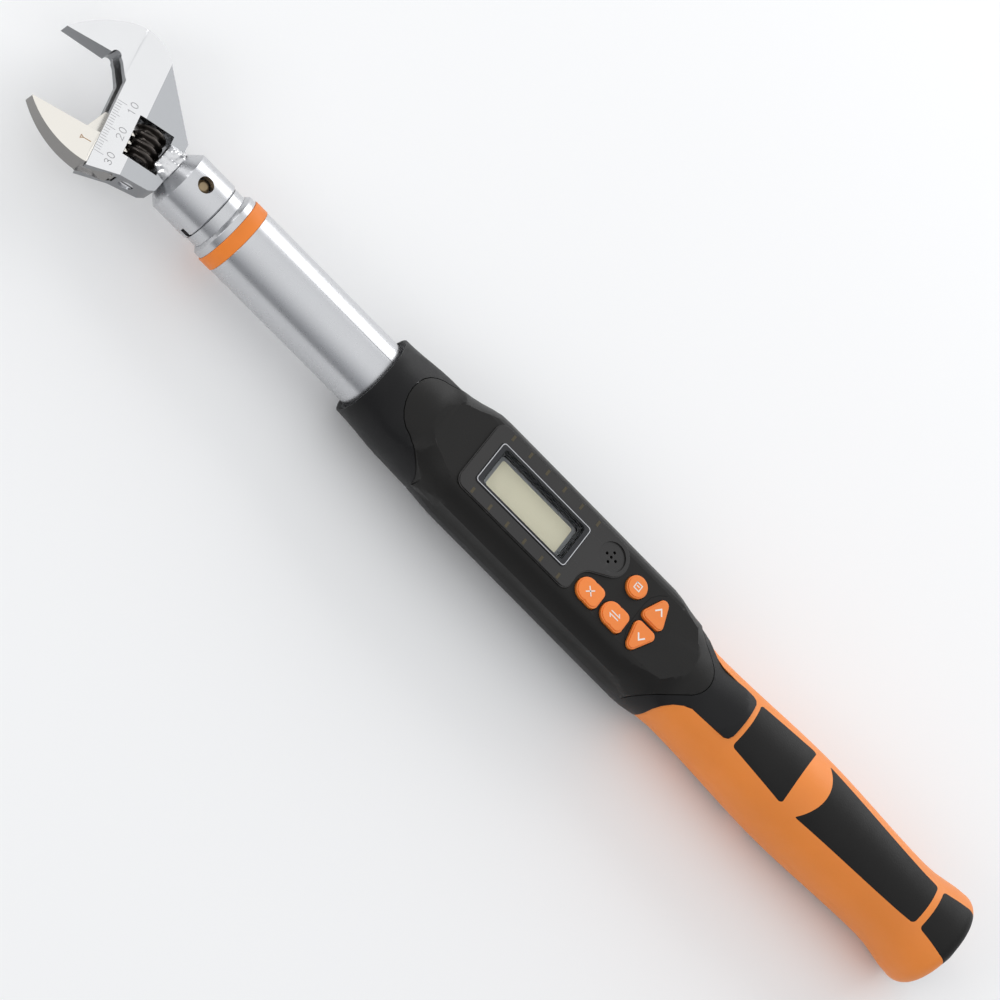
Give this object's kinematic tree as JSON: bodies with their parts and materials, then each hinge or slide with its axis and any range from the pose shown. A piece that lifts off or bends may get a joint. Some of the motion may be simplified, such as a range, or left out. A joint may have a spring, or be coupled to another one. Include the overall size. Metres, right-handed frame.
{
  "type": "digital torque wrench",
  "caption": "Digital torque wrench with an adjustable open-jaw head on a plug-in spigot, steel tube, display with keys, and an orange and black soft grip.",
  "frame": {"origin": "centre of the battery cover's flat, which the tool lies on", "axes": "+X along the tool from the jaws to the butt, +Z out of the display"},
  "size_m": [0.448, 0.0527, 0.0396],
  "materials": {
    "satin_chrome": "satin",
    "jaw_chrome": "satin",
    "weld_bead": "rough",
    "phosphate": "dark phosphate",
    "bright_steel": "bright",
    "brass_pin": "satin",
    "gauge_foil": "film",
    "orange_ring": "matt",
    "black_shell": "fine texture",
    "black_cover": "fine texture",
    "smoked_panel": "gloss",
    "bezel_grey": "satin",
    "display_glass": "clear",
    "lcd": "matt film",
    "board": "solder mask",
    "led": "clear",
    "buzzer_black": "matt",
    "mat_rubber": "matt",
    "orange_key": "smooth",
    "port_rubber": "matt",
    "tray_plastic": "matt",
    "cell_wrap": "film",
    "orange_grip": "soft, fine texture",
    "black_pad": "soft, raised grain",
    "core_plastic": "matt"
  },
  "bodies": {
    "tool": {"head_body": "satin_chrome", "head_socket": "satin_chrome", "neck_weld": "weld_bead", "worm_pin": "bright_steel", "worm_spring": "bright_steel", "sensor_beam": "satin_chrome", "strain_gauges": "gauge_foil", "detent_spring": "bright_steel", "key_pin": "phosphate", "flange_ring": "satin_chrome", "id_ring": "orange_ring", "front_tube": "satin_chrome", "tube_pins": "bright_steel", "lever_bar": "bright_steel", "lower_housing": "black_shell", "mouth_seal": "mat_rubber", "top_cover": "black_cover", "display_panel": "smoked_panel", "display_bezel": "bezel_grey", "display_lens": "display_glass", "lcd_module": "lcd", "circuit_board": "board", "led_lights": "led", "buzzer": "buzzer_black", "key_mat": "mat_rubber", "port_plug": "port_rubber", "battery_tray": "tray_plastic", "battery_cells": "cell_wrap", "battery_contacts": "bright_steel", "battery_cover": "black_shell", "battery_screws": "bright_steel", "housing_screws": "bright_steel", "grip_core": "core_plastic", "grip_sleeve": "orange_grip", "grip_pad_front": "black_pad", "grip_pad_rear": "black_pad", "butt_pad": "black_pad", "butt_plug": "core_plastic", "butt_screw": "bright_steel"},
    "jaw": {"moving_jaw": "jaw_chrome"},
    "worm_wheel": {"worm": "phosphate"},
    "detent": {"detent_pin": "brass_pin"},
    "clear_key": {"key_clear": "orange_key"},
    "unit_key": {"key_unit": "orange_key"},
    "memory_key": {"key_memory": "orange_key"},
    "up_key": {"key_up": "orange_key"},
    "down_key": {"key_down": "orange_key"}
  },
  "joints": [
    {"name": "jaw_slide", "type": "slide", "parent": "tool", "child": "jaw", "axis": [0.2588, -0.9659, 0], "range_m": [-0.02, 0.002]},
    {"name": "worm_spin", "type": "hinge", "parent": "tool", "child": "worm_wheel", "pos_m": [-0.18874, -0.00106, 0.0204], "axis": [0.2588, -0.9659, 0], "range_deg": [-2252, 227]},
    {"name": "detent_press", "type": "slide", "parent": "tool", "child": "detent", "axis": [0, 0, -1], "range_m": [0, 0.0024], "stiffness_N_per_m": 900, "deforming": ["detent_spring"]},
    {"name": "clear_press", "type": "slide", "parent": "tool", "child": "clear_key", "axis": [0, 0, -1], "range_m": [0, 0.0008], "stiffness_N_per_m": 700},
    {"name": "unit_press", "type": "slide", "parent": "tool", "child": "unit_key", "axis": [0, 0, -1], "range_m": [0, 0.0008], "stiffness_N_per_m": 700},
    {"name": "memory_press", "type": "slide", "parent": "tool", "child": "memory_key", "axis": [0, 0, -1], "range_m": [0, 0.0008], "stiffness_N_per_m": 700},
    {"name": "up_press", "type": "slide", "parent": "tool", "child": "up_key", "axis": [0, 0, -1], "range_m": [0, 0.0008], "stiffness_N_per_m": 700},
    {"name": "down_press", "type": "slide", "parent": "tool", "child": "down_key", "axis": [0, 0, -1], "range_m": [0, 0.0008], "stiffness_N_per_m": 700}
  ],
  "couplings": [
    {"joint": "worm_spin", "follows": "jaw_slide", "rad_per_m": 1963.5}
  ]
}
